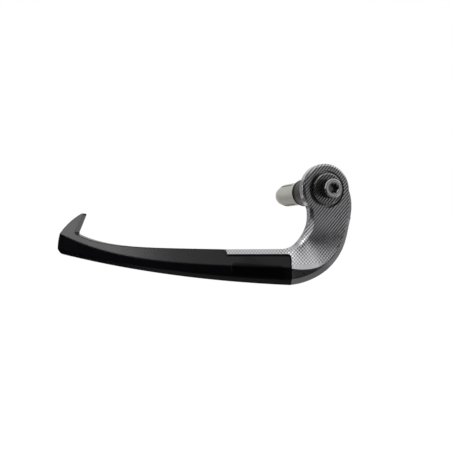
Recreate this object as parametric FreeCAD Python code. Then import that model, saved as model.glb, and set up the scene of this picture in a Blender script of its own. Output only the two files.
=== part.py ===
"""Lever guard for a motorcycle handlebar end: machined arm, moulded blade and bar-end clamp.

Frame, in millimetres: +X runs outwards along the handlebar, +Z is up, and -Y is forwards.
The origin is on the handlebar's axis, in the plane where the tube's end face meets the guard.
"""
import FreeCAD
import Part
import math
import os

from FreeCAD import Vector

# Bar-end clamp, along X from the inner end of the sleeve to the bolt's head
SLEEVE_RADIUS = 8.3
SLEEVE_LENGTH = 30.0
SLEEVE_LEAD_LENGTH = 7.0
SLEEVE_LEAD_RADIUS = 6.8
SLEEVE_BORE_RADIUS = 4.8
SLEEVE_RELIEF = 0.5
SLEEVE_SLOT_WIDTH = 1.4
SLEEVE_SLOT_LENGTH = 27.0
SLEEVE_SLOTS = 3
SLEEVE_SLOT_TURN = 40.0
CONE_LENGTH = 14.0
CONE_SMALL_RADIUS = 5.0
CONE_LARGE_RADIUS = 6.0
SEAT_RING_THICKNESS = 1.5
SEAT_RING_LIP = 0.5
COLLAR_RADIUS = 9.8
COLLAR_LENGTH = 27.5
COLLAR_CHAMFER = 0.8
BOLT_RADIUS = 4.0
BOLT_HEAD_RADIUS = 6.5
BOLT_HEAD_HEIGHT = 8.0
BOLT_HEAD_CHAMFER = 0.7
BOLT_END_STAND = 1.0
BOLT_END_CHAMFER = 1.0
SOCKET_RADIUS = 2.75
SOCKET_LOBE_RADIUS = 0.95
SOCKET_LOBES = 6
SOCKET_DEPTH = 4.4
SOCKET_MOUTH = 0.5
WASHER_RADIUS = 11.0
WASHER_THICKNESS = 6.0
WASHER_CHAMFER = 0.8
BOLT_CLEARANCE = 0.25
THREAD_CLEARANCE = 0.03
FIT_CLEARANCE = 0.1

# Arm: the eye, its neck and the bend into the blade
EYE_RADIUS = 17.8
PLATE_THICKNESS = 8.0
PLATE_CHAMFER = 1.5
RECESS_RADIUS = 13.0
RECESS_DEPTH = 3.4
NECK_DROP = 18.0
NECK_INNER = 12.4
NECK_OUTER = 18.9
NECK_BULGE = 1.3
NECK_FILLET = 10.0
NECK_INNER_BEVEL = 2.3
NECK_OUTER_BEVEL = 3.0
BLADE_HEADING = 40.0
BEND_RADIUS = 21.0
BEND_START_DROP = 20.0
BEND_STEP = 15.0
TWIST_END = 85.0
RIDGE_START = 38.0
SLOPE_END = 60.0
BEND_FLARE = 9.0
FLARE_HEADING = 25.0
FLARE_START = 8.0
FLARE_PEAK = 45.0
FLARE_END = 74.0
RIDGE_FROM_BEVEL = 1.0
BEVEL_END = 12.0
ROOT_WIDTH = 25.5
ROOT_BACK = 6.0
ROOT_RIDGE = 7.0
INNER_BEVEL = 3.6
INNER_BEVEL_DEPTH = 4.2
OUTER_BEVEL = 3.7
BACK_CHAMFER = 1.2

# Blade: facets, outline and hook, measured in its upright plane
UPPER_SLOPE_ROOT = 0.48
UPPER_SLOPE_TIP = 0.36
LOWER_SLOPE = 0.15
TIP_RIDGE = 5.0
TIP_BACK = 2.5
TIP_BEVEL = 4.0
TIP_THICKNESS = 3.0
BACK_EDGE = 0.5
FACET_STEPS = 12
HOOK_LEAN_START = 165.0
HOOK_LEAN_KNEE = 5.0
BLADE_START = 26.1
ROOT_SLANT = 0.577
ROOT_CORNER = 3.0
BLADE_REACH = 237.3
HEEL_RISE = 22.6
LOWER_BOW = 4.4
CREASE_LIFT = 5.0
CREASE_SWEEP = 23.3
CREASE_POWER = 3.8
UPPER_LIFT = 3.0
UPPER_SWEEP = 10.4
UPPER_POWER = 5.0
HOOK_ROOT_BACK = 18.0
HOOK_TIP_BACK = 22.8
HOOK_TIP_HEIGHT = 34.0
HOOK_BULGE = 5.7
HEEL_CORNER = 2.5
HOOK_TIP_CORNER = 1.2
HOOK_ROOT_CORNER = 2.0
STRIP_HEIGHT = 4.4
STRIP_END = 80.2
STRIP_STEP = 4.2
STRIP_GAP = 0.8

# Tongue of the arm inside the blade, and the screws that hold the blade on it
TONGUE_FRONT = 1.0
BLADE_FLOOR = 3.6
TONGUE_GAP = 0.25
PART_LINE_GAP = 0.35
SCREW_RADIUS = 2.0
SCREW_HEAD_RADIUS = 3.8
SCREW_HEAD_DEPTH = 2.0
SCREW_SOCKET_RADIUS = 1.45
SCREW_SOCKET_DEPTH = 1.5
SCREW_TIP_BACK = 0.3
SCREW_FIRST = 43.0
SCREW_PITCH = 25.0
SCREW_COUNT = 2
SCREW_CLEARANCE = 0.15
SCREW_DROP = 3.5
INSERT_RADIUS = 2.8
INSERT_LENGTH = 3.0
BLADE_WALL = 3.0
CORE_START = 86.0
CORE_END = 206.0
CORE_RIBS = 4
CORE_RIB_THICKNESS = 2.2

# How far a cut runs past the face it opens, and how many points carry a curved edge
CUT_MARGIN = 1.0
CURVE_POINTS = 9

# Places along X that follow from the sizes above
COLLAR_X = SEAT_RING_THICKNESS
PLATE_BACK_X = COLLAR_X + COLLAR_LENGTH
PLATE_FRONT_X = PLATE_BACK_X + PLATE_THICKNESS
PLATE_MID_X = (PLATE_BACK_X + PLATE_FRONT_X) / 2
RECESS_X = PLATE_FRONT_X - RECESS_DEPTH
BOLT_SEAT_X = RECESS_X + WASHER_THICKNESS
SLEEVE_END_X = -SLEEVE_LENGTH - SLEEVE_LEAD_LENGTH

QUARTER_TURN = 90.0
X_AXIS = Vector(1, 0, 0)
UP = Vector(0, 0, 1)
EYE = Vector(PLATE_MID_X, 0, 0)
_heading = math.radians(BLADE_HEADING)
HEADING = Vector(-math.cos(_heading), -math.sin(_heading), 0)
FRONT = Vector(math.sin(_heading), -math.cos(_heading), 0)
_flare = math.radians(FLARE_HEADING)
FLARE = Vector(math.cos(_flare), -math.sin(_flare), 0)
TWIST = QUARTER_TURN - BLADE_HEADING


def on_blade(along, height, depth=0.0):
    """Point of the upright plane that holds the blade: along its heading, up, and out of its front."""
    return EYE + HEADING * along + UP * height + FRONT * depth


def ease(value, start, end):
    """0 before start, 1 after end, and a smooth step between them."""
    share = min(1.0, max(0.0, (value - start) / (end - start)))
    return share * share * (3 - 2 * share)


def mix(first, second, share):
    return first + (second - first) * share


def turned(points, start_x):
    """Solid of revolution about the X axis from (x, radius) points, with x counted from start_x."""
    corners = [Vector(start_x + x, radius, 0) for x, radius in points]
    face = Part.Face(Part.makePolygon(corners + corners[:1]))
    return face.revolve(Vector(0, 0, 0), X_AXIS, 360)


def bar(radius, start_x, end_x):
    return Part.makeCylinder(radius, end_x - start_x, Vector(start_x, 0, 0), X_AXIS)


# Arm

def neck_outline(x, inset):
    """Outline of the eye and its neck at one X, set in all round except along the neck's foot."""
    share = inset / PLATE_CHAMFER
    eye = EYE_RADIUS - inset
    inner = NECK_INNER - NECK_INNER_BEVEL * share
    outer = NECK_OUTER - NECK_OUTER_BEVEL * share
    fillet = NECK_FILLET + inset
    reach = eye + fillet
    hub_y = -inner - fillet
    hub = Vector(x, hub_y, -math.sqrt(reach * reach - hub_y * hub_y))
    centre = Vector(x, 0, 0)
    on_eye = centre + (hub - centre) * (eye / reach)
    on_neck = Vector(x, -inner, hub.z)
    between = ((on_eye + on_neck) * 0.5 - hub).normalize()
    eye_right = Vector(x, eye, 0)
    inner_foot = Vector(x, -inner, -NECK_DROP)
    outer_foot = Vector(x, outer, -NECK_DROP)
    outer_middle = (eye_right + outer_foot) * 0.5 + Vector(0, NECK_BULGE, 0)
    return Part.Wire([
        Part.Arc(eye_right, Vector(x, 0, eye), on_eye).toShape(),
        Part.Arc(on_eye, hub + between * fillet, on_neck).toShape(),
        Part.LineSegment(on_neck, inner_foot).toShape(),
        Part.LineSegment(inner_foot, outer_foot).toShape(),
        Part.Arc(outer_foot, outer_middle, eye_right).toShape(),
    ])


def eye_plate():
    """The eye and its neck, with a chamfer round both faces that stops at the bend."""
    layers = [
        neck_outline(PLATE_BACK_X, PLATE_CHAMFER),
        neck_outline(PLATE_BACK_X + PLATE_CHAMFER, 0),
        neck_outline(PLATE_FRONT_X - PLATE_CHAMFER, 0),
        neck_outline(PLATE_FRONT_X, PLATE_CHAMFER),
    ]
    return Part.makeLoft(layers, True, True)


def bend_centre():
    """Hub of the bend in the blade's plane, as (along, height)."""
    neck_width = NECK_INNER + NECK_OUTER
    neck_centre = (NECK_OUTER - NECK_INNER) / 2
    along = BEND_RADIUS + neck_width / 2 - neck_centre * math.sin(_heading)
    return along, -BEND_START_DROP


def arm_section(turn):
    """Nine-cornered section of the arm, from the neck (no turn) to the blade's root (a quarter).

    Half way round, the outer side flares forwards, which scoops the upper face.
    """
    angle = math.radians(turn)
    bend = ease(turn, 0.0, TWIST_END)
    rise = ease(turn, RIDGE_START, TWIST_END)
    slope = ease(turn, 0.0, SLOPE_END)
    bevel = ease(turn, 0.0, BEVEL_END)
    twist = math.radians(TWIST * (1 - bend))
    half = mix(NECK_INNER + NECK_OUTER, ROOT_WIDTH, turn / QUARTER_TURN) / 2
    neck_centre = (NECK_OUTER - NECK_INNER) / 2
    along, height = bend_centre()
    inwards = HEADING * math.cos(angle) + UP * math.sin(angle)
    hub = on_blade(along, height, -neck_centre * math.cos(_heading) * (1 - bend))
    centre = hub - inwards * (BEND_RADIUS + half)
    across = inwards * math.cos(twist) + FRONT * math.sin(twist)
    outwards = FRONT * math.cos(twist) - inwards * math.sin(twist)
    plate_half = PLATE_THICKNESS / 2
    back = mix(plate_half, ROOT_BACK, bend)
    inner_bevel = mix(NECK_INNER_BEVEL, INNER_BEVEL, bevel)
    inner_depth = mix(PLATE_CHAMFER, INNER_BEVEL_DEPTH, bevel)
    outer_bevel = mix(NECK_OUTER_BEVEL, OUTER_BEVEL, bevel)
    outer_depth = mix(PLATE_CHAMFER, OUTER_BEVEL, bevel)
    inner_back = mix(NECK_INNER_BEVEL, BACK_CHAMFER, bevel)
    outer_back = mix(NECK_OUTER_BEVEL, BACK_CHAMFER, bevel)
    back_depth = mix(PLATE_CHAMFER, BACK_CHAMFER, bevel)
    ridge_across = mix(outer_bevel - half + RIDGE_FROM_BEVEL, 0.0, rise)
    ridge = mix(plate_half, ROOT_RIDGE, slope)
    inner_face = mix(plate_half, ROOT_RIDGE - (half - INNER_BEVEL) * UPPER_SLOPE_ROOT, slope)
    outer_face = ridge - (ridge_across - outer_bevel + half) * LOWER_SLOPE * slope
    corners = [
        (half - inner_back, -back),
        (half, back_depth - back),
        (half, inner_face - inner_depth),
        (half - inner_bevel, inner_face),
        (ridge_across, ridge),
        (outer_bevel - half, outer_face),
        (-half, outer_face - outer_depth),
        (-half, back_depth - back),
        (outer_back - half, -back),
    ]
    flare = BEND_FLARE * ease(turn, FLARE_START, FLARE_PEAK) * (1 - ease(turn, FLARE_PEAK, FLARE_END))
    points = []
    for a, b in corners:
        outer_share = (half - a) / (2 * half)
        points.append(centre + across * a + outwards * b + FLARE * (flare * outer_share))
    return Part.makePolygon(points + points[:1])


def arm_body():
    """Eye and neck, the twisted bend, and the straight bar behind the blade."""
    steps = round(QUARTER_TURN / BEND_STEP)
    sections = [arm_section(QUARTER_TURN * k / steps) for k in range(steps + 1)]
    bend = Part.makeLoft(sections, True, False)
    neck = Part.Face(arm_section(0.0)).extrude(UP * (BEND_START_DROP - NECK_DROP))
    tongue = Part.Face(arm_section(QUARTER_TURN)).extrude(HEADING * (STRIP_END - bend_centre()[0]))
    return eye_plate().fuse([neck, bend, tongue])


def cut_arm(arm):
    """Bolt hole and recess in the eye, and the rebate that takes the blade."""
    arm = arm.cut(bar(BOLT_RADIUS + BOLT_CLEARANCE, PLATE_BACK_X - CUT_MARGIN, PLATE_FRONT_X + CUT_MARGIN))
    arm = arm.cut(bar(RECESS_RADIUS, RECESS_X, PLATE_FRONT_X + CUT_MARGIN))
    start = BLADE_START - PART_LINE_GAP
    end = STRIP_END - PART_LINE_GAP
    low = root_bottom() - ROOT_WIDTH
    far = STRIP_END + ROOT_WIDTH
    floor = tongue_bottom()
    deep = ROOT_BACK + ROOT_RIDGE
    corner = ROOT_CORNER + PART_LINE_GAP
    arm = arm.cut(root_slab(start, low, far, strip_bottom() + STRIP_GAP, corner, TONGUE_FRONT, deep))
    arm = arm.cut(slab([(start, low), (start, floor), (far, floor), (far, low)], -deep, deep, ROOT_SLANT))
    step = [
        (end - STRIP_STEP, low), (end - STRIP_STEP, strip_bottom()), (end, root_top()),
        (end + STRIP_STEP, root_top() + STRIP_HEIGHT), (far, root_top() + STRIP_HEIGHT), (far, low),
    ]
    arm = arm.cut(slab(step, -deep, deep))
    for along in screw_places():
        arm = arm.cut(screw_solid(along, SCREW_CLEARANCE, False))
    return arm


# Blade

def root_top():
    return -BEND_START_DROP - BEND_RADIUS


def root_bottom():
    return root_top() - ROOT_WIDTH


def strip_bottom():
    """Height of the blade's upper edge where the arm's bright strip shows above it."""
    return root_top() - STRIP_HEIGHT


def tongue_bottom():
    return root_bottom() + BLADE_FLOOR + TONGUE_GAP


def share_of_blade(along):
    return max(0.0, (along - BLADE_START) / (BLADE_REACH - BLADE_START))


def crease(along):
    """Height of the crease between the two facets, which climbs towards the hook."""
    share = share_of_blade(along)
    return root_top() - ROOT_WIDTH / 2 + CREASE_LIFT * share + CREASE_SWEEP * share ** CREASE_POWER


def lower_edge(along):
    share = share_of_blade(along)
    return root_bottom() + HEEL_RISE * share - 4 * LOWER_BOW * share * (1 - share)


def upper_edge(along):
    share = max(0.0, (along - STRIP_END) / (BLADE_REACH - HOOK_ROOT_BACK - STRIP_END))
    return root_top() + UPPER_LIFT * share + UPPER_SWEEP * share ** UPPER_POWER


def slab(outline, depth_from, depth_to, slant=0.0):
    """Prism on an outline of (along, height) points between two depths, leaning back by slant."""
    points = [on_blade(along - slant * depth_from, height, depth_from) for along, height in outline]
    face = Part.Face(Part.makePolygon(points + points[:1]))
    return face.extrude((FRONT - HEADING * slant) * (depth_to - depth_from))


def root_slab(start, low, far, top, corner, depth_from, depth_to):
    """Slanted prism with one rounded corner: the blade's root, and the rebate that takes it."""
    shift = ROOT_SLANT * depth_from
    half = corner * (1 - math.sqrt(0.5))

    def at(along, height):
        return on_blade(along - shift, height, depth_from)

    outline = Part.Wire([
        Part.LineSegment(at(start, low), at(start, top - corner)).toShape(),
        Part.Arc(at(start, top - corner), at(start + half, top - half), at(start + corner, top)).toShape(),
        Part.LineSegment(at(start + corner, top), at(far, top)).toShape(),
        Part.LineSegment(at(far, top), at(far, low)).toShape(),
        Part.LineSegment(at(far, low), at(start, low)).toShape(),
    ])
    return Part.Face(outline).extrude((FRONT - HEADING * ROOT_SLANT) * (depth_to - depth_from))


def curve(formula, start, end, depth, points=CURVE_POINTS):
    """Smooth edge through a formula of the place along the blade."""
    places = [mix(start, end, k / (points - 1)) for k in range(points)]
    spline = Part.BSplineCurve()
    spline.interpolate([on_blade(place, formula(place), depth) for place in places])
    return spline.toShape()


def line(first, last, depth):
    return Part.LineSegment(on_blade(*first, depth), on_blade(*last, depth)).toShape()


def blade_outline(depth):
    """Outline of the blade past its root, round the hook and back along the upper edge."""
    middle = STRIP_END + STRIP_STEP
    heel = (BLADE_REACH, lower_edge(BLADE_REACH))
    tip = (BLADE_REACH - HOOK_TIP_BACK, heel[1] + HOOK_TIP_HEIGHT)
    hook_root = BLADE_REACH - HOOK_ROOT_BACK
    chord = math.hypot(HOOK_TIP_BACK, HOOK_TIP_HEIGHT)
    bulge_along = (heel[0] + tip[0]) / 2 + HOOK_BULGE * HOOK_TIP_HEIGHT / chord
    bulge_height = (heel[1] + tip[1]) / 2 + HOOK_BULGE * HOOK_TIP_BACK / chord
    low = strip_bottom()
    start = BLADE_START - ROOT_SLANT * ROOT_RIDGE * 2
    hook = Part.Arc(
        on_blade(*heel, depth),
        on_blade(bulge_along, bulge_height, depth),
        on_blade(*tip, depth),
    )
    return Part.Wire([
        line((start, lower_edge(start)), (BLADE_START, lower_edge(BLADE_START)), depth),
        curve(lower_edge, BLADE_START, BLADE_REACH, depth),
        hook.toShape(),
        line(tip, (hook_root, upper_edge(hook_root)), depth),
        curve(upper_edge, hook_root, middle, depth),
        line((middle, upper_edge(middle)), (STRIP_END, root_top()), depth),
        line((STRIP_END, root_top()), (STRIP_END - STRIP_STEP, low), depth),
        line((STRIP_END - STRIP_STEP, low), (start, low), depth),
        line((start, low), (start, lower_edge(start)), depth),
    ])


def facet_section(along, inset):
    """Upright section of the faceted body, wider than the blade's outline above and below."""
    share = share_of_blade(along)
    lean = ease(along, HOOK_LEAN_START, BLADE_REACH - HOOK_ROOT_BACK)
    ridge = mix(ROOT_RIDGE, TIP_RIDGE, share) - inset
    back = -mix(ROOT_BACK, TIP_BACK, share) - inset
    slope = mix(UPPER_SLOPE_ROOT, UPPER_SLOPE_TIP, share)
    middle = crease(along)
    above = mix((ridge - back - BACK_EDGE) / slope, HOOK_TIP_HEIGHT, lean)
    top_depth = ridge - above * slope
    low = lower_edge(along) + mix(OUTER_BEVEL, TIP_BEVEL, share)
    low_depth = ridge - (middle - low) * LOWER_SLOPE
    below = low_depth - back - BACK_EDGE
    corners = [
        (middle + above, top_depth),
        (middle, ridge),
        (low, low_depth),
        (low - below, back + BACK_EDGE),
        (low - below, back),
        (middle + HOOK_LEAN_KNEE, back),
        (middle + above, mix(back, top_depth - TIP_THICKNESS, lean)),
    ]
    points = [on_blade(along, height, depth) for height, depth in corners]
    return Part.makePolygon(points + points[:1])


def facet_body(inset=0.0):
    """Long body with the blade's two facets and its lower bevel as its front."""
    start = BLADE_START - ROOT_WIDTH / 2
    end = BLADE_REACH + ROOT_WIDTH / 2
    places = [mix(start, end, k / FACET_STEPS) for k in range(FACET_STEPS + 1)]
    return Part.makeLoft([facet_section(place, inset) for place in places], True, False)


def round_corner(solid, along, height, radius):
    """Round the corner that runs through the blade nearest to a point of its outline."""
    target = on_blade(along, height)
    through = []
    for edge in solid.Edges:
        first, last = edge.Vertexes[0].Point, edge.Vertexes[-1].Point
        if (last - first).cross(FRONT).Length < 1e-6 and (last - first).Length > 1:
            through.append(edge)
    nearest = min(through, key=lambda edge: (edge.CenterOfMass - target).cross(FRONT).Length)
    return solid.makeFillet(radius, [nearest])


def blade_body():
    """The whole faceted blade with its rounded heel, hook and root."""
    heel_height = lower_edge(BLADE_REACH)
    hook_root = BLADE_REACH - HOOK_ROOT_BACK
    tip_height = heel_height + HOOK_TIP_HEIGHT
    deep = ROOT_BACK + ROOT_RIDGE
    body = Part.Face(blade_outline(-deep)).extrude(FRONT * deep * 2)
    body = round_corner(body, BLADE_REACH, heel_height, HEEL_CORNER)
    body = round_corner(body, BLADE_REACH - HOOK_TIP_BACK, tip_height, HOOK_TIP_CORNER)
    body = round_corner(body, hook_root, upper_edge(hook_root), HOOK_ROOT_CORNER)
    low = root_bottom() - ROOT_WIDTH
    root = root_slab(BLADE_START, low, STRIP_END, strip_bottom(), ROOT_CORNER, -deep, deep)
    beyond = slab([(BLADE_START + ROOT_WIDTH, low), (BLADE_START + ROOT_WIDTH, ROOT_WIDTH),
                   (BLADE_REACH * 2, ROOT_WIDTH), (BLADE_REACH * 2, low)], -deep, deep)
    return body.common(facet_body()).common(root.fuse(beyond))


def core_cells():
    """Hollows in the back of the blade, between ribs, that keep its walls even."""
    deep = ROOT_BACK * 2
    low = curve(lambda along: lower_edge(along) + BLADE_WALL, CORE_START, CORE_END, -deep)
    high = curve(lambda along: upper_edge(along) - BLADE_WALL, CORE_END, CORE_START, -deep)
    near = Part.LineSegment(high.Vertexes[-1].Point, low.Vertexes[0].Point).toShape()
    far = Part.LineSegment(low.Vertexes[-1].Point, high.Vertexes[0].Point).toShape()
    hollow = Part.Face(Part.Wire([low, far, high, near])).extrude(FRONT * (deep + ROOT_RIDGE))
    hollow = hollow.common(facet_body(BLADE_WALL))
    cell = (CORE_END - CORE_START) / (CORE_RIBS + 1)
    half = CORE_RIB_THICKNESS / 2
    for k in range(1, CORE_RIBS + 1):
        near = CORE_START + cell * k - half
        far = near + CORE_RIB_THICKNESS
        rib = [(near, root_bottom()), (far, root_bottom()), (far, 0), (near, 0)]
        hollow = hollow.cut(slab(rib, -deep, deep))
    return hollow


def cut_blade(blade):
    """Channel for the tongue, holes for the inserts, and the hollows in the back."""
    seat = TONGUE_FRONT + TONGUE_GAP
    floor = tongue_bottom() - TONGUE_GAP
    end = STRIP_END - STRIP_STEP
    channel = [
        (0, floor), (end, floor), (end, strip_bottom()), (STRIP_END, root_top()), (STRIP_END, 0), (0, 0),
    ]
    blade = blade.cut(slab(channel, -ROOT_BACK * 2, seat))
    for along in screw_places():
        hole_start = on_blade(along, screw_height(along), seat - 1)
        blade = blade.cut(Part.makeCylinder(INSERT_RADIUS, INSERT_LENGTH + 1, hole_start, FRONT))
    return blade.cut(core_cells())


def insert_solid(along):
    start = on_blade(along, screw_height(along), TONGUE_FRONT + TONGUE_GAP)
    outside = Part.makeCylinder(INSERT_RADIUS - THREAD_CLEARANCE, INSERT_LENGTH, start, FRONT)
    return outside.cut(Part.makeCylinder(SCREW_RADIUS + THREAD_CLEARANCE, INSERT_LENGTH, start, FRONT))


def screw_places():
    return [SCREW_FIRST + SCREW_PITCH * k for k in range(SCREW_COUNT)]


def screw_height(along):
    """The screws lie below the crease, where the blade is thickest."""
    return crease(along) - SCREW_DROP


def screw_solid(along, clearance, socket=True):
    """Countersunk screw from the back of the tongue towards the front, or its hole."""
    head = on_blade(along, screw_height(along), -ROOT_BACK)
    tip_depth = TONGUE_FRONT + TONGUE_GAP + INSERT_LENGTH - SCREW_TIP_BACK
    radius = SCREW_RADIUS + clearance
    shank = Part.makeCylinder(radius, tip_depth + ROOT_BACK, head, FRONT)
    cone = Part.makeCone(SCREW_HEAD_RADIUS + clearance, radius, SCREW_HEAD_DEPTH, head, FRONT)
    screw = shank.fuse(cone)
    if not socket:
        return screw
    corners = []
    for k in range(7):
        angle = math.radians(60 * k)
        corners.append(head + (HEADING * math.cos(angle) + UP * math.sin(angle)) * SCREW_SOCKET_RADIUS)
    hexagon = Part.Face(Part.makePolygon(corners)).extrude(FRONT * SCREW_SOCKET_DEPTH)
    return screw.cut(hexagon)


# Bar-end clamp

def bolt_solid():
    """Cap screw with a six-lobed socket, its head outwards."""
    end = SLEEVE_END_X - BOLT_END_STAND
    length = BOLT_SEAT_X - end
    bolt = turned([
        (0, 0), (0, BOLT_RADIUS - BOLT_END_CHAMFER), (BOLT_END_CHAMFER, BOLT_RADIUS),
        (length, BOLT_RADIUS), (length, BOLT_HEAD_RADIUS),
        (length + BOLT_HEAD_HEIGHT - BOLT_HEAD_CHAMFER, BOLT_HEAD_RADIUS),
        (length + BOLT_HEAD_HEIGHT, BOLT_HEAD_RADIUS - BOLT_HEAD_CHAMFER),
        (length + BOLT_HEAD_HEIGHT, 0),
    ], end)
    top = BOLT_SEAT_X + BOLT_HEAD_HEIGHT
    socket = bar(SOCKET_RADIUS, top - SOCKET_DEPTH, top + CUT_MARGIN)
    for k in range(SOCKET_LOBES):
        angle = 2 * math.pi * k / SOCKET_LOBES
        lobe = Vector(top - SOCKET_DEPTH, SOCKET_RADIUS * math.cos(angle), SOCKET_RADIUS * math.sin(angle))
        socket = socket.fuse(Part.makeCylinder(SOCKET_LOBE_RADIUS, SOCKET_DEPTH + 1, lobe, X_AXIS))
    rim = SOCKET_RADIUS + SOCKET_LOBE_RADIUS
    mouth = Part.makeCone(rim - SOCKET_MOUTH, rim + SOCKET_MOUTH / 2, SOCKET_MOUTH * 1.5,
                          Vector(top - SOCKET_MOUTH * 1.2, 0, 0), X_AXIS)
    return bolt.cut(socket.fuse(mouth))


def washer_solid():
    bore = BOLT_RADIUS + BOLT_CLEARANCE
    return turned([
        (0, bore), (0, WASHER_RADIUS), (WASHER_THICKNESS - WASHER_CHAMFER, WASHER_RADIUS),
        (WASHER_THICKNESS, WASHER_RADIUS - WASHER_CHAMFER), (WASHER_THICKNESS, bore),
    ], RECESS_X)


def collar_solid():
    bore = BOLT_RADIUS + BOLT_CLEARANCE
    return turned([
        (0, bore), (0, COLLAR_RADIUS - COLLAR_CHAMFER), (COLLAR_CHAMFER, COLLAR_RADIUS),
        (COLLAR_LENGTH - COLLAR_CHAMFER, COLLAR_RADIUS), (COLLAR_LENGTH, COLLAR_RADIUS - COLLAR_CHAMFER),
        (COLLAR_LENGTH, bore),
    ], COLLAR_X)


def seat_ring_solid():
    """Soft ring between the collar and the handlebar's end, with a lip behind the sleeve's shoulder."""
    mouth = SLEEVE_RADIUS + FIT_CLEARANCE
    bore = mouth - SLEEVE_RELIEF
    return turned([
        (0, mouth), (0, COLLAR_RADIUS), (SEAT_RING_THICKNESS, COLLAR_RADIUS),
        (SEAT_RING_THICKNESS, bore), (SEAT_RING_LIP, bore), (SEAT_RING_LIP, mouth),
    ], 0)


def sleeve_solid():
    """Split sleeve that the cone spreads inside the handlebar, tapered inside from its inner end."""
    mouth = CONE_LARGE_RADIUS + FIT_CLEARANCE
    taper = (CONE_LARGE_RADIUS - CONE_SMALL_RADIUS) / CONE_LENGTH
    taper_end = SLEEVE_END_X + (mouth - SLEEVE_BORE_RADIUS) / taper
    sleeve = turned([
        (SLEEVE_END_X, mouth), (SLEEVE_END_X, SLEEVE_LEAD_RADIUS), (-SLEEVE_LENGTH, SLEEVE_RADIUS),
        (0, SLEEVE_RADIUS), (0, SLEEVE_RADIUS - SLEEVE_RELIEF), (COLLAR_X, SLEEVE_RADIUS - SLEEVE_RELIEF),
        (COLLAR_X, SLEEVE_BORE_RADIUS), (taper_end, SLEEVE_BORE_RADIUS),
    ], 0)
    for k in range(SLEEVE_SLOTS):
        slot = Part.makeBox(SLEEVE_SLOT_LENGTH + CUT_MARGIN, SLEEVE_SLOT_WIDTH, SLEEVE_RADIUS + CUT_MARGIN,
                            Vector(SLEEVE_END_X - CUT_MARGIN, -SLEEVE_SLOT_WIDTH / 2, 0))
        slot.rotate(Vector(0, 0, 0), X_AXIS, SLEEVE_SLOT_TURN + 360 * k / SLEEVE_SLOTS)
        sleeve = sleeve.cut(slot)
    return sleeve


def cone_solid():
    bore = BOLT_RADIUS + THREAD_CLEARANCE
    return turned([
        (0, bore), (0, CONE_LARGE_RADIUS), (CONE_LENGTH, CONE_SMALL_RADIUS), (CONE_LENGTH, bore),
    ], SLEEVE_END_X)


def main():
    os.makedirs("parts", exist_ok=True)
    places = screw_places()
    parts = {
        "guard_arm": cut_arm(arm_body()),
        "guard_blade": cut_blade(blade_body()),
        "blade_screws": Part.makeCompound([screw_solid(along, 0) for along in places]),
        "blade_inserts": Part.makeCompound([insert_solid(along) for along in places]),
        "bar_end_bolt": bolt_solid(),
        "clamp_washer": washer_solid(),
        "spacer_collar": collar_solid(),
        "seat_ring": seat_ring_solid(),
        "expander_sleeve": sleeve_solid(),
        "expander_cone": cone_solid(),
    }
    for name, shape in parts.items():
        shape.exportStep("parts/" + name + ".step")


main()
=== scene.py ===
"""Looks of the bar-end lever guard: camera, studio light, finishes and small trim.

Lengths are in metres in the part's own frame: +X outwards along the handlebar, +Z up, -Y forwards.
"""

import math

import bpy
from mathutils import Matrix, Vector


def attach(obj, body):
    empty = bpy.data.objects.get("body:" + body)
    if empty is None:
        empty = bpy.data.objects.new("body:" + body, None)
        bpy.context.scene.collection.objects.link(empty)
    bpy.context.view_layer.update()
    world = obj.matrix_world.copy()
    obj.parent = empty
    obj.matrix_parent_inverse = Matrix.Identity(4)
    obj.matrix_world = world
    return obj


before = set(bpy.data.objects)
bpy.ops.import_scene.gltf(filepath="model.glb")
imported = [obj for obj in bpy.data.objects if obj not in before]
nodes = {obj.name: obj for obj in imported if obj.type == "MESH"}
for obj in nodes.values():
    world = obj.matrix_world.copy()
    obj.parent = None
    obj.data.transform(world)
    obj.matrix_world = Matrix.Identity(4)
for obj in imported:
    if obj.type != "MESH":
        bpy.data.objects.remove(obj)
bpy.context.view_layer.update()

MM = 0.001

# Directions of the part's frame
UP = Vector((0.0, 0.0, 1.0))
OUTWARDS = Vector((1.0, 0.0, 0.0))
INWARDS = Vector((-1.0, 0.0, 0.0))
FORWARDS = Vector((0.0, -1.0, 0.0))
BACKWARDS = Vector((0.0, 1.0, 0.0))

# Camera, as the photograph was taken
CAMERA_PLACE = Vector((0.5955, -0.2774, -0.0470))
CAMERA_YAW = math.radians(20.0)
CAMERA_PITCH = math.radians(2.0)
SENSOR_MM = 36.0
FOCAL_PER_WIDTH = 900.0 / 452.0
VIEW_RIGHT = Vector((math.sin(CAMERA_YAW), math.cos(CAMERA_YAW), 0.0))

# Studio
FLOOR_HEIGHT = -0.30
FLOOR_SIZE = 12.0
FLOOR_GLOW = 0.85
FILL_LIGHT = 0.40
CARD_LIFT = 0.01
PART_MIDDLE = (-0.05, -0.08, -0.04)
HOOK_MIDDLE = (-0.15, -0.16, 0.0)

# Blade, as the part's source has it
BLADE_ORIGIN = Vector((33.0 * MM, 0.0, 0.0))
BLADE_HEADING = math.radians(40.0)
BLADE_START = 26.1 * MM
BLADE_REACH = 237.3 * MM
CREASE_ROOT = -53.75 * MM
CREASE_LIFT = 5.0 * MM
CREASE_SWEEP = 23.3 * MM
CREASE_POWER = 3.8
RIDGE_ROOT = 7.0 * MM
RIDGE_TIP = 5.0 * MM
UPPER_SLOPE_ROOT = 0.48
UPPER_SLOPE_TIP = 0.36
LOWER_SLOPE = 0.15
STRIP_BOTTOM = -44.6 * MM
STRIP_END = 80.2 * MM
STRIP_STEP = 4.0 * MM
HOOK_BASE = -28.0 * MM

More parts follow.
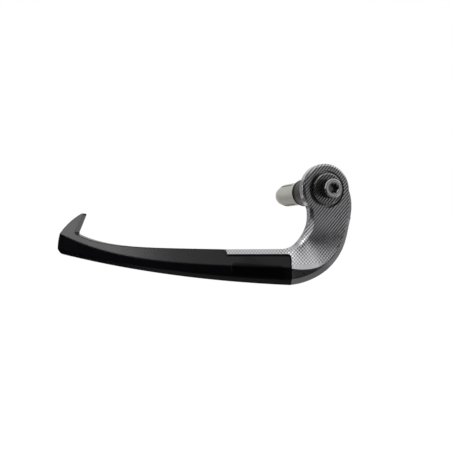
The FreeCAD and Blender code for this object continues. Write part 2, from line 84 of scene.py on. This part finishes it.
# Ways along the blade and out of its front, and places along it from the part's origin
HEADING = Vector((-math.cos(BLADE_HEADING), -math.sin(BLADE_HEADING), 0.0))
FRONT = Vector((math.sin(BLADE_HEADING), -math.cos(BLADE_HEADING), 0.0))
ROOT_PLACE = BLADE_START + BLADE_ORIGIN.dot(HEADING)
STEP_PLACE = STRIP_END - STRIP_STEP + BLADE_ORIGIN.dot(HEADING)

# Bar-end bolt, along X and from its axis
BOLT_SEAT = 39.6 * MM
BOLT_TOP = 47.6 * MM
BOLT_SIDE = 6.5 * MM
BOLT_GLINT_RING = 4.9 * MM
HEAD_ROUNDING = 0.9 * MM
SOCKET_REACH = 3.85 * MM
SOCKET_LIP = 0.3 * MM
THREAD_PITCH = 1.25 * MM
KNURLS = 36.0

# Blackened end of the collar, along X
COLLAR_BLACK_END = 5.0 * MM

# Bare gloss pad on the blade's root
PAD_START = 27.8 * MM
PAD_END = 70.6 * MM
PAD_TOP = -52.9 * MM
PAD_BOTTOM = -62.6 * MM
PAD_RISE = 0.053
PAD_CORNER = 3.2 * MM
PAD_PROUD = 0.15 * MM
PAD_SUNK = 0.1 * MM
PAD_COLUMNS = 48
PAD_HALF_ROWS = 4

# Tool marks on the arm and washer
MARK_ANGLE = math.radians(50.0)
MARK_PITCH = 1.65 * MM
MARK_CONTRAST = 1.6
MARK_PEAK = 1.4
MARKED_FACING = Vector((0.85, -0.40, 0.30)).normalized()
MARKED_FROM = 0.58
MARKED_FULL = 0.70
CROSS_FROM = -28.0 * MM
CROSS_TO = -36.0 * MM
CREASE_TILT = 0.12
STRIP_CONTRAST = 2.2
STRIP_LIGHTER = 0.14
STRIP_BLEND_FROM = ROOT_PLACE - 2.0 * MM
STRIP_BLEND_TO = ROOT_PLACE + 4.0 * MM

# Edges and shades of the finishes, with painted shadows and highlights
FADE = 0.1 * MM
BLADE_EDGE = 1.6 * MM
HOOK_EDGE = 0.25 * MM
HOOK_BLEND = 3.0 * MM
SHADOW_RIM_DROP = 1.5 * MM
SHADOW_RIM_SPECULAR = 0.02
FRONTAL_FROM = 0.2
FRONTAL_FULL = 0.4
SEAM_SHADOW_GREY = 0.004
BLACKENED_SHADE = 0.006
# Painted shade of the bolt head's side and socket, and the painted highlight ring round the socket
HEAD_SHADOW_GREY = 0.04
SOCKET_SHADOW_SHARE = 0.6
GLINT_RING_SHARE = 0.65
BLOTCH_SHARE = 0.35

# Tints, as shares of a grey's red, green and blue
ARM_DARK_TINT = (1.0, 0.99, 1.04)
ARM_LIGHT_TINT = (1.0, 0.99, 1.02)
BLADE_TINT = (0.9, 0.9, 1.3)
HEAD_SHADOW_TINT = (0.92, 1.04, 1.0)
NO_TINT = (1.0, 1.0, 1.0)


def mix(first, second, share):
    """Value a share of the way from the first to the second."""
    return first + (second - first) * share


def grey(level, tint=NO_TINT):
    """Colour of a level, tinted a little."""
    return [level * part for part in tint]


class Finish:
    """A material on the Principled shader, with short ways to add and join its nodes."""

    def __init__(self, name, colour, metallic, roughness, specular=0.5):
        self.material = bpy.data.materials.new(name)
        self.material.use_nodes = True
        self.tree = self.material.node_tree
        self.shader = self.tree.nodes["Principled BSDF"]
        self.shader.inputs["Base Color"].default_value = (*colour, 1.0)
        self.shader.inputs["Metallic"].default_value = metallic
        self.shader.inputs["Roughness"].default_value = roughness
        self.shader.inputs["Specular IOR Level"].default_value = specular
        self.place = self.add("ShaderNodeTexCoord").outputs["Object"]
        self.facing = self.add("ShaderNodeNewGeometry").outputs["Normal"]

    def add(self, kind, **settings):
        node = self.tree.nodes.new(kind)
        for name, value in settings.items():
            setattr(node, name, value)
        return node

    def feed(self, socket, value):
        """Join an output to a socket, or set a plain number on it."""
        if isinstance(value, bpy.types.NodeSocket):
            self.tree.links.new(value, socket)
        else:
            socket.default_value = value

    def math(self, operation, first, second=0.0):
        node = self.add("ShaderNodeMath", operation=operation)
        self.feed(node.inputs[0], first)
        self.feed(node.inputs[1], second)
        return node.outputs[0]

    def product(self, first, *others):
        """All the values multiplied, which for masks is where all of them are."""
        result = first
        for other in others:
            result = self.math("MULTIPLY", result, other)
        return result

    def along(self, vector, direction):
        """How far a vector reaches along a fixed direction."""
        node = self.add("ShaderNodeVectorMath", operation="DOT_PRODUCT")
        self.feed(node.inputs[0], vector)
        node.inputs[1].default_value = direction
        return node.outputs["Value"]

    def spread(self, value, low, high, to_low=0.0, to_high=1.0):
        """Smooth step of a value from one range to another."""
        node = self.add("ShaderNodeMapRange", interpolation_type="SMOOTHSTEP")
        self.feed(node.inputs["Value"], value)
        node.inputs["From Min"].default_value = low
        node.inputs["From Max"].default_value = high
        node.inputs["To Min"].default_value = to_low
        node.inputs["To Max"].default_value = to_high
        return node.outputs["Result"]

    def past(self, value, place, fade):
        """1 where a value is past a place and 0 before it, with a fade that ends there."""
        return self.spread(value, place - fade, place)

    def before(self, value, place, fade):
        """1 where a value is before a place and 0 past it, with a fade that ends there."""
        return self.spread(value, place - fade, place, 1.0, 0.0)

    def noise(self, scale, detail=2.0, roughness=0.5):
        node = self.add("ShaderNodeTexNoise")
        self.feed(node.inputs["Vector"], self.place)
        node.inputs["Scale"].default_value = scale
        node.inputs["Detail"].default_value = detail
        node.inputs["Roughness"].default_value = roughness
        return node.outputs["Fac"]

    def lines(self, direction, pitch):
        """Even lines across a direction, from -1 to 1."""
        turn = self.along(self.place, Vector(direction).normalized() * (2 * math.pi / pitch))
        return self.math("SINE", turn)

    def colour(self, value, dark, light, masked=None, mask=None):
        """Base colour between two colours by a value from 0 to 1, and a third where a mask is 1."""
        ramp = self.add("ShaderNodeValToRGB")
        ramp.color_ramp.elements[0].color = (*dark, 1.0)
        ramp.color_ramp.elements[1].color = (*light, 1.0)
        self.feed(ramp.inputs["Fac"], value)
        result = ramp.outputs["Color"]
        if mask is not None:
            cover = self.add("ShaderNodeMix", data_type="RGBA")
            self.feed(cover.inputs["Factor"], mask)
            self.feed(cover.inputs["A"], result)
            cover.inputs["B"].default_value = (*masked, 1.0)
            result = cover.outputs["Result"]
        self.feed(self.shader.inputs["Base Color"], result)

    def rough(self, value, middle, less, more):
        """Roughness about a middle, by a value from 0 to 1."""
        self.feed(self.shader.inputs["Roughness"], self.spread(value, 0.0, 1.0, middle - less, middle + more))

    def relief(self, height, depth, strength, edge):
        """Bump from a height, over edges softened by a small radius."""
        soft = self.add("ShaderNodeBevel", samples=6)
        self.feed(soft.inputs["Radius"], edge)
        bump = self.add("ShaderNodeBump")
        bump.inputs["Strength"].default_value = strength
        bump.inputs["Distance"].default_value = depth
        self.feed(bump.inputs["Height"], height)
        self.feed(bump.inputs["Normal"], soft.outputs["Normal"])
        self.feed(self.shader.inputs["Normal"], bump.outputs["Normal"])


def tool_marks(finish, height):
    """Lines that slant as the photograph shows them, crossed by a second set round the bend."""
    rising = VIEW_RIGHT * math.sin(MARK_ANGLE) - UP * math.cos(MARK_ANGLE)
    falling = VIEW_RIGHT * math.sin(MARK_ANGLE) + UP * math.cos(MARK_ANGLE)
    first = finish.spread(height, CROSS_TO, CROSS_FROM, 1.0, MARK_CONTRAST)
    second = finish.spread(height, CROSS_TO, CROSS_FROM, 1.0, 0.0)
    return finish.math(
        "ADD",
        finish.product(finish.lines(rising, MARK_PITCH), first),
        finish.product(finish.lines(falling, MARK_PITCH), second),
    )


def painted_seam_shadow(finish, height, reach):
    """Mask of the painted shadow in the narrow gap between the arm's strip and the blade's top."""
    return finish.product(
        finish.past(reach, ROOT_PLACE - 4 * FADE, 2 * FADE),
        finish.before(height, STRIP_BOTTOM, FADE),
        finish.spread(finish.along(finish.facing, FRONT), FRONTAL_FROM, FRONTAL_FULL),
    )


def machined(name, dark, light, roughness):
    """Anodised metal with tool marks on its broad faces, lighter on the strip above the blade, and a painted
    shadow in the gap under the strip.
    """
    finish = Finish(name, light, 1.0, roughness)
    height = finish.along(finish.place, UP)
    reach = finish.along(finish.place, HEADING)
    front = finish.spread(finish.along(finish.facing, MARKED_FACING), MARKED_FROM, MARKED_FULL)
    back = finish.spread(finish.along(finish.facing, -MARKED_FACING), MARKED_FROM, MARKED_FULL)
    over_crease = finish.along(finish.place, UP + HEADING * CREASE_TILT)
    crease_level = CREASE_ROOT + CREASE_TILT * ROOT_PLACE
    above_crease = finish.past(over_crease, crease_level + 3 * FADE, 6 * FADE)
    marked = finish.math("ADD", finish.product(front, above_crease), back)
    uneven = finish.spread(finish.noise(scale=160.0, detail=3.0), 0.25, 0.75, to_low=0.35)
    strip = finish.spread(reach, STRIP_BLEND_FROM, STRIP_BLEND_TO)
    contrast = finish.spread(strip, 0.0, 1.0, 1.0, STRIP_CONTRAST)
    marks = finish.product(tool_marks(finish, height), marked, uneven, contrast)
    lighter = finish.product(strip, STRIP_LIGHTER)
    shade = finish.math("ADD", finish.spread(marks, -MARK_PEAK, MARK_PEAK), lighter)
    # The gap under the strip is painted nearly black: a painted shadow between the strip and the blade.
    finish.colour(shade, dark, light, grey(SEAM_SHADOW_GREY), painted_seam_shadow(finish, height, reach))
    broad = finish.spread(finish.math("ADD", front, back), 0.0, 1.0, to_low=0.5)
    worn = finish.product(finish.noise(scale=420.0, detail=4.0), broad)
    finish.rough(worn, roughness, less=0.12, more=0.10)
    finish.relief(marks, depth=0.10 * MM, strength=0.5, edge=0.35 * MM)
    return finish.material


def grained(finish, colour, roughness, edge):
    """Fine grain and faint clouds of a moulded surface."""
    grain = finish.noise(scale=1500.0, detail=3.0, roughness=0.6)
    cloud = finish.noise(scale=45.0, detail=4.0, roughness=0.6)
    finish.colour(cloud, [part * 0.8 for part in colour], [part * 1.25 for part in colour])
    finish.rough(cloud, roughness, less=0.05, more=0.06)
    finish.relief(grain, depth=0.02 * MM, strength=0.35, edge=edge)


def moulded(name, colour, roughness, specular, edge):
    """Moulded plastic or rubber."""
    finish = Finish(name, colour, 0.0, roughness, specular)
    grained(finish, colour, roughness, edge)
    return finish.material


def blade_moulding(name, colour, roughness, specular):
    """Moulded plastic with edges rounder on the blade than on the hook, and a painted shadow under the strip
    where its gloss is turned down.
    """
    finish = Finish(name, colour, 0.0, roughness, specular)
    height = finish.along(finish.place, UP)
    # Gloss turned down on a rim just under the strip: a painted shadow of the gap.
    shadow_rim = finish.product(
        finish.past(height, STRIP_BOTTOM - SHADOW_RIM_DROP, 4 * FADE),
        finish.before(finish.along(finish.place, HEADING), STEP_PLACE, 2 * FADE),
    )
    finish.feed(
        finish.shader.inputs["Specular IOR Level"],
        finish.spread(shadow_rim, 0.0, 1.0, specular, SHADOW_RIM_SPECULAR),
    )
    edge = finish.spread(height, HOOK_BASE - HOOK_BLEND, HOOK_BASE, BLADE_EDGE, HOOK_EDGE)
    grained(finish, colour, roughness, edge)
    return finish.material


def turned(name, dark, light, metallic, roughness, pitch, depth, black_end=None):
    """Turned metal with fine rings along the handlebar's axis, blackened up to a place along it."""
    finish = Finish(name, light, metallic, roughness)
    mask = None
    if black_end:
        mask = finish.before(finish.along(finish.place, OUTWARDS), black_end, 2 * FADE)
    rings = finish.product(finish.lines(OUTWARDS, pitch), finish.noise(scale=220.0, detail=3.0))
    blotch = finish.noise(scale=260.0, detail=4.0, roughness=0.6)
    finish.colour(blotch, dark, light, grey(BLACKENED_SHADE), mask)
    finish.rough(blotch, roughness, less=0.06, more=0.08)
    finish.relief(rings, depth, strength=0.6, edge=0.2 * MM)
    return finish.material


def cap_screw(name, dark, light, roughness):
    """Zinc-plated screw with a knurled head: painted shade on the head's side and in the socket, and a
    painted highlight ring round the socket.
    """
    finish = Finish(name, light, 1.0, roughness)
    split = finish.add("ShaderNodeSeparateXYZ")
    finish.feed(split.inputs[0], finish.place)
    x, y, z = split.outputs
    reach = finish.math("SQRT", finish.math("ADD", finish.product(y, y), finish.product(z, z)))
    turn = finish.math("ARCTAN2", z, y)
    head = finish.past(x, BOLT_SEAT + 3 * FADE, 3 * FADE)
    # The head's side is painted nearly black: painted shade.
    side = finish.product(
        head,
        finish.past(reach, BOLT_SIDE - FADE / 2, FADE),
        finish.before(x, BOLT_TOP - HEAD_ROUNDING, 2 * FADE),
    )
    # The socket is painted partly dark: painted shade in the recess.
    socket = finish.product(
        head,
        finish.before(reach, SOCKET_REACH + FADE / 2, FADE),
        finish.before(x, BOLT_TOP - SOCKET_LIP, 3 * FADE),
        SOCKET_SHADOW_SHARE,
    )
    # A lighter ring round the socket: a painted highlight for the glints on its edge.
    off_glint_ring = finish.math("ABSOLUTE", finish.math("SUBTRACT", reach, BOLT_GLINT_RING))
    glint_ring = finish.product(finish.before(off_glint_ring, 5 * FADE, 3 * FADE), head, GLINT_RING_SHARE)
    blotch = finish.noise(scale=300.0, detail=4.0, roughness=0.6)
    shade = finish.math("ADD", finish.product(blotch, BLOTCH_SHARE), glint_ring)
    finish.colour(shade, dark, light, grey(HEAD_SHADOW_GREY, HEAD_SHADOW_TINT), finish.math("MAXIMUM", side, socket))
    finish.rough(blotch, roughness, less=0.06, more=0.08)
    shank = finish.math("SUBTRACT", 1.0, head)
    thread = finish.product(finish.lines(OUTWARDS, THREAD_PITCH), shank)
    knurl = finish.product(finish.math("SINE", finish.product(turn, KNURLS)), side)
    finish.relief(finish.math("ADD", thread, knurl), depth=0.25 * MM, strength=0.8, edge=0.2 * MM)
    return finish.material


finishes = {
    "guard_arm": machined(
        "arm_metal", grey(0.14, ARM_DARK_TINT), grey(0.60, ARM_LIGHT_TINT), roughness=0.34,
    ),
    "guard_blade": blade_moulding(
        "blade_plastic", grey(0.003, BLADE_TINT), roughness=0.25, specular=0.16,
    ),
    "blade_screws": turned(
        "screw_steel", grey(0.10), grey(0.17),
        metallic=1.0, roughness=0.35, pitch=0.8 * MM, depth=0.03 * MM,
    ),
    "blade_inserts": turned(
        "insert_brass", (0.50, 0.34, 0.12), (0.66, 0.47, 0.19),
        metallic=1.0, roughness=0.35, pitch=0.7 * MM, depth=0.03 * MM,
    ),
    "bar_end_bolt": cap_screw("bolt_steel", grey(0.30), grey(0.85), roughness=0.24),
    # Washer colours are set darker than the arm's. This is painted shade for the bolt head's shadow and dark
    # reflection on it.
    "clamp_washer": machined("washer_metal", grey(0.085), grey(0.36), roughness=0.30),
    "spacer_collar": turned(
        "collar_metal", (0.045, 0.040, 0.036), (0.075, 0.066, 0.060),
        metallic=0.7, roughness=0.45, pitch=0.6 * MM, depth=0.02 * MM, black_end=COLLAR_BLACK_END,
    ),
    "seat_ring": moulded(
        "seat_rubber", grey(0.010), roughness=0.60, specular=0.02, edge=0.25 * MM,
    ),
    "expander_sleeve": turned(
        "sleeve_metal", (0.45, 0.45, 0.405), (0.57, 0.56, 0.505),
        metallic=0.6, roughness=0.55, pitch=0.5 * MM, depth=0.02 * MM,
    ),
    "expander_cone": turned(
        "cone_steel", grey(0.36), grey(0.50),
        metallic=1.0, roughness=0.35, pitch=0.9 * MM, depth=0.02 * MM,
    ),
}
for name, material in finishes.items():
    mesh = nodes[name].data
    mesh.materials.clear()
    mesh.materials.append(material)


# Bare pad on the blade

def blade_share(along):
    """Share of the way from the blade's start to its tip."""
    return max(0.0, (along - BLADE_START) / (BLADE_REACH - BLADE_START))


def crease_height(along):
    """Height of the ridge between the blade's two facets."""
    share = blade_share(along)
    return CREASE_ROOT + CREASE_LIFT * share + CREASE_SWEEP * share ** CREASE_POWER


def on_blade(along, height, proud):
    """Point over the blade's two facets, from a place in its upright plane."""
    share = blade_share(along)
    crease = crease_height(along)
    slope = mix(UPPER_SLOPE_ROOT, UPPER_SLOPE_TIP, share) if height > crease else LOWER_SLOPE
    depth = mix(RIDGE_ROOT, RIDGE_TIP, share) - abs(height - crease) * slope + proud
    return BLADE_ORIGIN + HEADING * along + UP * height + FRONT * depth


def pad_column(along):
    """Points up the pad at a place along the blade, folded at the crease."""
    side = min(along - PAD_START, PAD_END - along)
    inset = 0.0
    if side < PAD_CORNER:
        inset = PAD_CORNER - math.sqrt(max(0.0, PAD_CORNER ** 2 - (PAD_CORNER - side) ** 2))
    lift = PAD_RISE * (along - PAD_START)
    bottom = PAD_BOTTOM + lift + inset
    top = PAD_TOP + lift - inset
    fold = min(top, max(bottom, crease_height(along)))
    heights = [mix(bottom, fold, row / PAD_HALF_ROWS) for row in range(PAD_HALF_ROWS)]
    heights += [mix(fold, top, row / PAD_HALF_ROWS) for row in range(PAD_HALF_ROWS + 1)]
    return [on_blade(along, height, PAD_PROUD) for height in heights]


def pad_mesh():
    """Thin rounded patch that follows both facets, with its columns closer at the ends."""
    rows = 2 * PAD_HALF_ROWS + 1
    points = []
    faces = []
    for column in range(PAD_COLUMNS + 1):
        share = 0.5 - 0.5 * math.cos(math.pi * column / PAD_COLUMNS)
        points += pad_column(mix(PAD_START, PAD_END, share))
    for column in range(PAD_COLUMNS):
        for row in range(rows - 1):
            first = column * rows + row
            faces.append((first, first + rows, first + rows + 1, first + 1))
    mesh = bpy.data.meshes.new("blade_pad")
    mesh.from_pydata(points, [], faces)
    return mesh


pad = bpy.data.objects.new("blade_pad", pad_mesh())
bpy.context.scene.collection.objects.link(pad)
pad.data.materials.append(moulded("pad_gloss", grey(0.002), roughness=0.12, specular=0.06, edge=BLADE_EDGE))
thick = pad.modifiers.new("thickness", "SOLIDIFY")
thick.thickness = PAD_PROUD + PAD_SUNK
thick.offset = -1.0
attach(pad, "root")


# Studio: floor, world, lamps and cards

def seen_directly(tree):
    """1 for rays from the camera, off gloss or through glass, and 0 for light that falls on things."""
    path = tree.nodes.new("ShaderNodeLightPath")
    total = path.outputs["Is Camera Ray"]
    for name in ("Is Glossy Ray", "Is Transmission Ray"):
        add = tree.nodes.new("ShaderNodeMath")
        add.operation = "MAXIMUM"
        tree.links.new(total, add.inputs[0])
        tree.links.new(path.outputs[name], add.inputs[1])
        total = add.outputs[0]
    return total


def white_world():
    """White surround that lights the part less than it shows."""
    world = bpy.data.worlds.new("studio")
    world.use_nodes = True
    tree = world.node_tree
    background = tree.nodes["Background"]
    background.inputs["Color"].default_value = (1.0, 1.0, 1.0, 1.0)
    strength = tree.nodes.new("ShaderNodeMapRange")
    strength.inputs["To Min"].default_value = FILL_LIGHT
    strength.inputs["To Max"].default_value = 1.0
    tree.links.new(seen_directly(tree), strength.inputs["Value"])
    tree.links.new(strength.outputs["Result"], background.inputs["Strength"])
    bpy.context.scene.world = world


def matt_material(name, level, roughness):
    """Matt grey without gloss, that can glow white."""
    material = bpy.data.materials.new(name)
    material.use_nodes = True
    shader = material.node_tree.nodes["Principled BSDF"]
    shader.inputs["Base Color"].default_value = (level, level, level, 1.0)
    shader.inputs["Roughness"].default_value = roughness
    shader.inputs["Specular IOR Level"].default_value = 0.0
    shader.inputs["Emission Color"].default_value = (1.0, 1.0, 1.0, 1.0)
    return material, shader


def floor_material():
    """Pale matt floor that looks white and still takes a shadow."""
    material, shader = matt_material("floor_pale", level=0.85, roughness=0.9)
    tree = material.node_tree
    glow = tree.nodes.new("ShaderNodeMath")
    glow.operation = "MULTIPLY"
    glow.inputs[1].default_value = FLOOR_GLOW
    tree.links.new(seen_directly(tree), glow.inputs[0])
    tree.links.new(glow.outputs[0], shader.inputs["Emission Strength"])
    return material


def card_material(name, glow):
    """Black card that glows by its level."""
    material, shader = matt_material(name, level=0.0, roughness=1.0)
    shader.inputs["Emission Strength"].default_value = glow
    return material


def aimed(place, direction, axis):
    """Placement with one of an object's axes along a direction."""
    return Matrix.Translation(place) @ Vector(direction).to_track_quat(axis, "Y").to_matrix().to_4x4()


def flat_panel(name, centre, width, height, towards, material):
    """Upright or level rectangle that faces a direction."""
    half_w = width / 2
    half_h = height / 2
    mesh = bpy.data.meshes.new(name)
    mesh.from_pydata(
        [(-half_w, -half_h, 0), (half_w, -half_h, 0), (half_w, half_h, 0), (-half_w, half_h, 0)],
        [], [(0, 1, 2, 3)],
    )
    mesh.materials.append(material)
    panel = bpy.data.objects.new(name, mesh)
    panel.matrix_world = aimed(centre, towards, "Z")
    bpy.context.scene.collection.objects.link(panel)
    return panel


def card(name, centre, width, height, towards, glow):
    """Card that only shows in reflections."""
    panel = flat_panel(name, centre, width, height, towards, card_material(name, glow))
    panel.visible_camera = False
    panel.visible_diffuse = False
    panel.visible_shadow = False


def floor_card(name, x, y, width, height, glow):
    """Card that lies just over the floor."""
    card(name, (x, y, FLOOR_HEIGHT + CARD_LIFT), width, height, UP, glow)


def softbox(name, place, target, width, height, power):
    """Soft lamp that the camera doesn't see."""
    light = bpy.data.lights.new(name, "AREA")
    light.shape = "RECTANGLE"
    light.size = width
    light.size_y = height
    light.energy = power
    lamp = bpy.data.objects.new(name, light)
    lamp.matrix_world = aimed(place, Vector(target) - Vector(place), "-Z")
    lamp.visible_camera = False
    bpy.context.scene.collection.objects.link(lamp)


white_world()
flat_panel("floor", (0.0, 0.0, FLOOR_HEIGHT), FLOOR_SIZE, FLOOR_SIZE, UP, floor_material())

# Far cards beyond the eye, for the arm's outer face
card("card_camera_side", (1.3, -0.5, 0.02), width=2.0, height=1.2, towards=INWARDS, glow=0.09)
card("card_camera_top", (1.3, -0.2, 1.07), width=1.4, height=0.9, towards=INWARDS, glow=0.36)
card("card_upper", (1.28, 0.60, 0.82), width=1.3, height=1.36, towards=INWARDS, glow=0.05)
card("card_right", (1.3, 1.3, 0.02), width=1.6, height=1.2, towards=INWARDS, glow=0.57)

# Cards before the blade, on the floor and behind the part
card("card_front", (0.2, -1.1, -0.17), width=2.8, height=0.26, towards=BACKWARDS, glow=0.01)
floor_card("card_front_floor", 0.2, -0.785, width=2.8, height=1.13, glow=0.01)
floor_card("card_below", 0.05, 0.02, width=1.1, height=0.48, glow=0.26)
floor_card("card_camera_floor", 0.95, -0.23, width=0.7, height=0.74, glow=0.09)
floor_card("card_right_floor", 0.7, 0.82, width=1.4, height=1.36, glow=0.40)
card("card_back", (-1.3, -0.45, 0.14), width=0.7, height=0.72, towards=OUTWARDS, glow=0.30)
card("card_far_side", (-0.3, 1.2, 0.10), width=2.0, height=0.8, towards=FORWARDS, glow=0.35)

# Small cards close to the hook, the eye, the bend and the bend's inner bevel
card("card_hook", (-0.142, -0.025, -0.055), width=0.06, height=0.06, towards=(0.07, -0.95, 0.29), glow=4.6)
card("card_eye", (0.046, -0.039, 0.022), width=0.026, height=0.08, towards=(-0.41, 0.91, 0.0), glow=0.0)
card("card_bend", (0.016, -0.070, -0.032), width=0.056, height=0.026, towards=BACKWARDS, glow=1.1)
card("card_bevel", (0.045, -0.054, -0.047), width=0.02, height=0.024, towards=(-0.2, 0.85, 0.5), glow=1.1)

softbox("softbox_front", (-0.08, -0.92, 0.505), PART_MIDDLE, width=0.8, height=0.4, power=1.0)
softbox("softbox_tip", (-0.135, -0.255, 0.057), HOOK_MIDDLE, width=0.11, height=0.05, power=0.13)
softbox("softbox_right", (0.10, 1.10, 0.70), PART_MIDDLE, width=0.6, height=0.6, power=2.0)


# Camera

def place_camera():
    """Camera with the photograph's place, heading and field of view."""
    towards = Vector((
        math.cos(CAMERA_YAW) * math.cos(CAMERA_PITCH),
        -math.sin(CAMERA_YAW) * math.cos(CAMERA_PITCH),
        -math.sin(CAMERA_PITCH),
    ))
    upwards = towards.cross(VIEW_RIGHT)
    data = bpy.data.cameras.new("camera")
    data.sensor_width = SENSOR_MM
    data.lens = SENSOR_MM * FOCAL_PER_WIDTH
    camera = bpy.data.objects.new("camera", data)
    turn = Matrix((VIEW_RIGHT, upwards, towards)).transposed().to_4x4()
    camera.matrix_world = Matrix.Translation(CAMERA_PLACE) @ turn
    bpy.context.scene.collection.objects.link(camera)
    bpy.context.scene.camera = camera


place_camera()
bpy.context.scene.view_settings.view_transform = "Standard"
